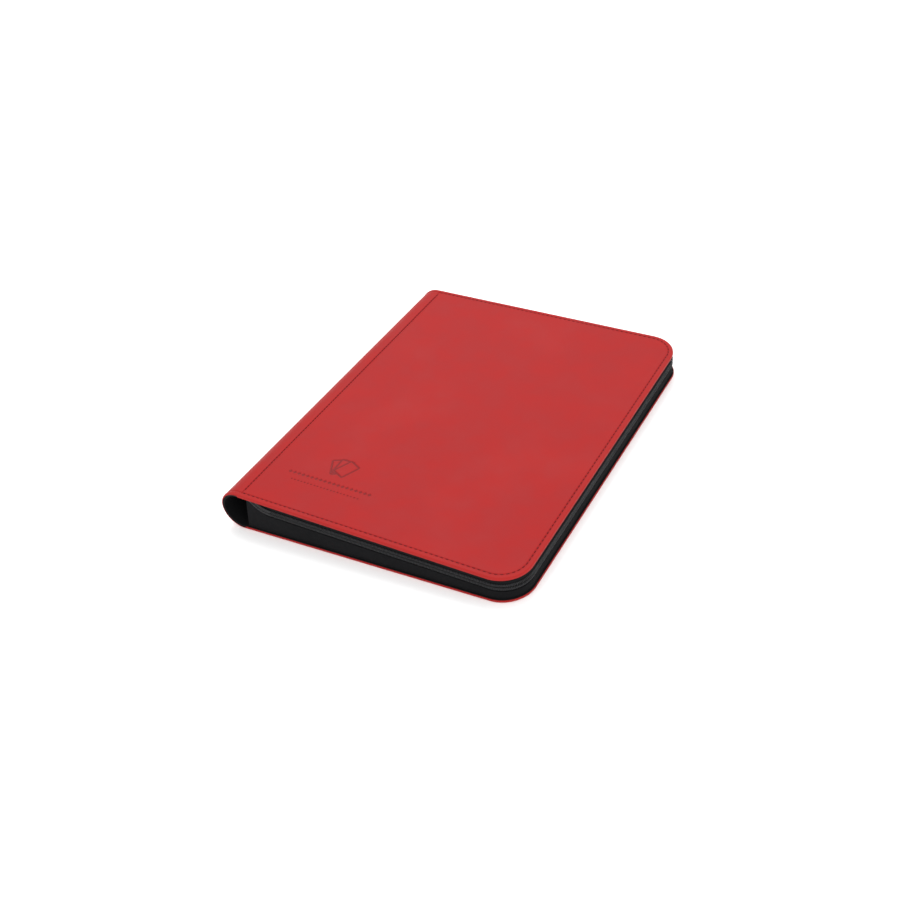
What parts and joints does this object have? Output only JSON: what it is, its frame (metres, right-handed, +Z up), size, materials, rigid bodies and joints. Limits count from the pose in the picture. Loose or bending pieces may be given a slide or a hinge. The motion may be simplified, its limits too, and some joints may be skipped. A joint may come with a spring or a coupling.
{
  "type": "trading card binder",
  "caption": "Zip-round card binder with stitched red leatherette covers, a rolled spine, a black fabric gusset and a block of pocket pages.",
  "frame": {"origin": "centre of the back cover's underside, on the surface that the binder lies on", "axes": "+X from the spine to the fore edge, +Y along the spine towards the head, +Z up through the front cover"},
  "size_m": [0.282, 0.3542, 0.038],
  "materials": {
    "red_leather": "matt satin grained leatherette",
    "red_thread": "twisted thread",
    "black_thread": "twisted thread",
    "cover_board": "pressed grey board",
    "spine_padding": "thin foam",
    "lining_fabric": "smooth woven lining",
    "gusset_fabric": "dense woven fabric",
    "zip_tape": "woven tape",
    "zip_coil": "nylon coil",
    "zip_metal": "black enamel",
    "page_sheet": "black core under clear film"
  },
  "bodies": {
    "back_cover": {"back_cover_skin": "red_leather", "back_cover_board": "cover_board", "back_cover_lining": "lining_fabric", "back_cover_stitching": "red_thread", "back_gusset": "gusset_fabric", "lower_zip_tape": "zip_tape", "lower_zip_coil": "zip_coil", "zip_tail_coil": "zip_coil", "zip_tail_tape": "zip_tape", "zip_end_stop": "zip_metal", "page_binding_roll": "gusset_fabric", "page_binding_tape": "gusset_fabric", "page_binding_stitching": "black_thread"},
    "spine_lower": {"spine_lower_skin": "red_leather", "spine_lower_padding": "spine_padding", "spine_lower_lining": "lining_fabric"},
    "spine_middle": {"spine_middle_skin": "red_leather", "spine_middle_padding": "spine_padding", "spine_middle_lining": "lining_fabric"},
    "spine_upper": {"spine_upper_skin": "red_leather", "spine_upper_padding": "spine_padding", "spine_upper_lining": "lining_fabric"},
    "front_cover": {"front_cover_skin": "red_leather", "front_cover_board": "cover_board", "front_cover_lining": "lining_fabric", "front_cover_stitching": "red_thread", "front_gusset": "gusset_fabric", "upper_zip_tape": "zip_tape", "upper_zip_coil": "zip_coil"},
    "slider": {"slider_body": "zip_metal", "slider_bail": "zip_metal"},
    "pull": {"pull_tab": "zip_metal"},
    "page_leaf_01": {"page_01": "page_sheet"},
    "page_leaf_02": {"page_02": "page_sheet"},
    "page_leaf_03": {"page_03": "page_sheet"},
    "page_leaf_04": {"page_04": "page_sheet"},
    "page_leaf_05": {"page_05": "page_sheet"},
    "page_leaf_06": {"page_06": "page_sheet"},
    "page_leaf_07": {"page_07": "page_sheet"},
    "page_leaf_08": {"page_08": "page_sheet"},
    "page_leaf_09": {"page_09": "page_sheet"},
    "page_leaf_10": {"page_10": "page_sheet"},
    "page_leaf_11": {"page_11": "page_sheet"},
    "page_leaf_12": {"page_12": "page_sheet"},
    "page_leaf_13": {"page_13": "page_sheet"},
    "page_leaf_14": {"page_14": "page_sheet"},
    "page_leaf_15": {"page_15": "page_sheet"},
    "page_leaf_16": {"page_16": "page_sheet"},
    "page_leaf_17": {"page_17": "page_sheet"},
    "page_leaf_18": {"page_18": "page_sheet"},
    "page_leaf_19": {"page_19": "page_sheet"},
    "page_leaf_20": {"page_20": "page_sheet"}
  },
  "joints": [
    {"name": "cover_open", "type": "hinge", "parent": "back_cover", "child": "spine_lower", "pos_m": [-0.1315, 0, 0], "axis": [0, -1, 0], "range_deg": [0, 30]},
    {"name": "spine_fold_low", "type": "hinge", "parent": "spine_lower", "child": "spine_middle", "pos_m": [-0.14795, 0, 0.0095], "axis": [0, -1, 0], "range_deg": [0, 60]},
    {"name": "spine_fold_high", "type": "hinge", "parent": "spine_middle", "child": "spine_upper", "pos_m": [-0.14795, 0, 0.0285], "axis": [0, -1, 0], "range_deg": [0, 60]},
    {"name": "front_cover_fold", "type": "hinge", "parent": "spine_upper", "child": "front_cover", "pos_m": [-0.1315, 0, 0.038], "axis": [0, -1, 0], "range_deg": [0, 32.83]},
    {"name": "page_01_turn", "type": "hinge", "parent": "back_cover", "child": "page_leaf_01", "pos_m": [-0.129, 0, 0.01305], "axis": [0, -1, 0], "range_deg": [0, 1.2]},
    {"name": "page_02_turn", "type": "hinge", "parent": "back_cover", "child": "page_leaf_02", "pos_m": [-0.129, 0, 0.01305], "axis": [0, -1, 0], "range_deg": [0, 2.4]},
    {"name": "page_03_turn", "type": "hinge", "parent": "back_cover", "child": "page_leaf_03", "pos_m": [-0.129, 0, 0.01305], "axis": [0, -1, 0], "range_deg": [0, 3.6]},
    {"name": "page_04_turn", "type": "hinge", "parent": "back_cover", "child": "page_leaf_04", "pos_m": [-0.129, 0, 0.01305], "axis": [0, -1, 0], "range_deg": [0, 4.8]},
    {"name": "page_05_turn", "type": "hinge", "parent": "back_cover", "child": "page_leaf_05", "pos_m": [-0.129, 0, 0.01305], "axis": [0, -1, 0], "range_deg": [0, 6]},
    {"name": "page_06_turn", "type": "hinge", "parent": "back_cover", "child": "page_leaf_06", "pos_m": [-0.129, 0, 0.01305], "axis": [0, -1, 0], "range_deg": [0, 7.2]},
    {"name": "page_07_turn", "type": "hinge", "parent": "back_cover", "child": "page_leaf_07", "pos_m": [-0.129, 0, 0.01305], "axis": [0, -1, 0], "range_deg": [0, 8.4]},
    {"name": "page_08_turn", "type": "hinge", "parent": "back_cover", "child": "page_leaf_08", "pos_m": [-0.129, 0, 0.01305], "axis": [0, -1, 0], "range_deg": [0, 9.6]},
    {"name": "page_09_turn", "type": "hinge", "parent": "back_cover", "child": "page_leaf_09", "pos_m": [-0.129, 0, 0.01305], "axis": [0, -1, 0], "range_deg": [0, 10.8]},
    {"name": "page_10_turn", "type": "hinge", "parent": "back_cover", "child": "page_leaf_10", "pos_m": [-0.129, 0, 0.01305], "axis": [0, -1, 0], "range_deg": [0, 12]},
    {"name": "page_11_turn", "type": "hinge", "parent": "back_cover", "child": "page_leaf_11", "pos_m": [-0.129, 0, 0.01305], "axis": [0, -1, 0], "range_deg": [0, 165]},
    {"name": "page_12_turn", "type": "hinge", "parent": "back_cover", "child": "page_leaf_12", "pos_m": [-0.129, 0, 0.01305], "axis": [0, -1, 0], "range_deg": [0, 166.2]},
    {"name": "page_13_turn", "type": "hinge", "parent": "back_cover", "child": "page_leaf_13", "pos_m": [-0.129, 0, 0.01305], "axis": [0, -1, 0], "range_deg": [0, 167.4]},
    {"name": "page_14_turn", "type": "hinge", "parent": "back_cover", "child": "page_leaf_14", "pos_m": [-0.129, 0, 0.01305], "axis": [0, -1, 0], "range_deg": [0, 168.6]},
    {"name": "page_15_turn", "type": "hinge", "parent": "back_cover", "child": "page_leaf_15", "pos_m": [-0.129, 0, 0.01305], "axis": [0, -1, 0], "range_deg": [0, 169.8]},
    {"name": "page_16_turn", "type": "hinge", "parent": "back_cover", "child": "page_leaf_16", "pos_m": [-0.129, 0, 0.01305], "axis": [0, -1, 0], "range_deg": [0, 171]},
    {"name": "page_17_turn", "type": "hinge", "parent": "back_cover", "child": "page_leaf_17", "pos_m": [-0.129, 0, 0.01305], "axis": [0, -1, 0], "range_deg": [0, 172.2]},
    {"name": "page_18_turn", "type": "hinge", "parent": "back_cover", "child": "page_leaf_18", "pos_m": [-0.129, 0, 0.01305], "axis": [0, -1, 0], "range_deg": [0, 173.4]},
    {"name": "page_19_turn", "type": "hinge", "parent": "back_cover", "child": "page_leaf_19", "pos_m": [-0.129, 0, 0.01305], "axis": [0, -1, 0], "range_deg": [0, 174.6]},
    {"name": "page_20_turn", "type": "hinge", "parent": "back_cover", "child": "page_leaf_20", "pos_m": [-0.129, 0, 0.01305], "axis": [0, -1, 0], "range_deg": [0, 175.8]},
    {"name": "slider_travel", "type": "slide", "parent": "back_cover", "child": "slider", "axis": [0.9988, 0, -0.0494], "range_m": [0, 0.2]},
    {"name": "pull_swing", "type": "hinge", "parent": "slider", "child": "pull", "pos_m": [-0.11869, 0.1777, 0.02676], "axis": [0.0494, 0, 0.9988], "range_deg": [0, 170]}
  ],
  "couplings": [
    {"joint": "spine_fold_low", "follows": "cover_open", "ratio": 2},
    {"joint": "spine_fold_high", "follows": "cover_open", "ratio": 2},
    {"joint": "front_cover_fold", "follows": "cover_open", "ratio": 1.0944},
    {"joint": "page_01_turn", "follows": "cover_open", "ratio": 0.04},
    {"joint": "page_02_turn", "follows": "cover_open", "ratio": 0.08},
    {"joint": "page_03_turn", "follows": "cover_open", "ratio": 0.12},
    {"joint": "page_04_turn", "follows": "cover_open", "ratio": 0.16},
    {"joint": "page_05_turn", "follows": "cover_open", "ratio": 0.2},
    {"joint": "page_06_turn", "follows": "cover_open", "ratio": 0.24},
    {"joint": "page_07_turn", "follows": "cover_open", "ratio": 0.28},
    {"joint": "page_08_turn", "follows": "cover_open", "ratio": 0.32},
    {"joint": "page_09_turn", "follows": "cover_open", "ratio": 0.36},
    {"joint": "page_10_turn", "follows": "cover_open", "ratio": 0.4},
    {"joint": "page_11_turn", "follows": "cover_open", "ratio": 5.5},
    {"joint": "page_12_turn", "follows": "cover_open", "ratio": 5.54},
    {"joint": "page_13_turn", "follows": "cover_open", "ratio": 5.58},
    {"joint": "page_14_turn", "follows": "cover_open", "ratio": 5.62},
    {"joint": "page_15_turn", "follows": "cover_open", "ratio": 5.66},
    {"joint": "page_16_turn", "follows": "cover_open", "ratio": 5.7},
    {"joint": "page_17_turn", "follows": "cover_open", "ratio": 5.74},
    {"joint": "page_18_turn", "follows": "cover_open", "ratio": 5.78},
    {"joint": "page_19_turn", "follows": "cover_open", "ratio": 5.82},
    {"joint": "page_20_turn", "follows": "cover_open", "ratio": 5.86}
  ]
}
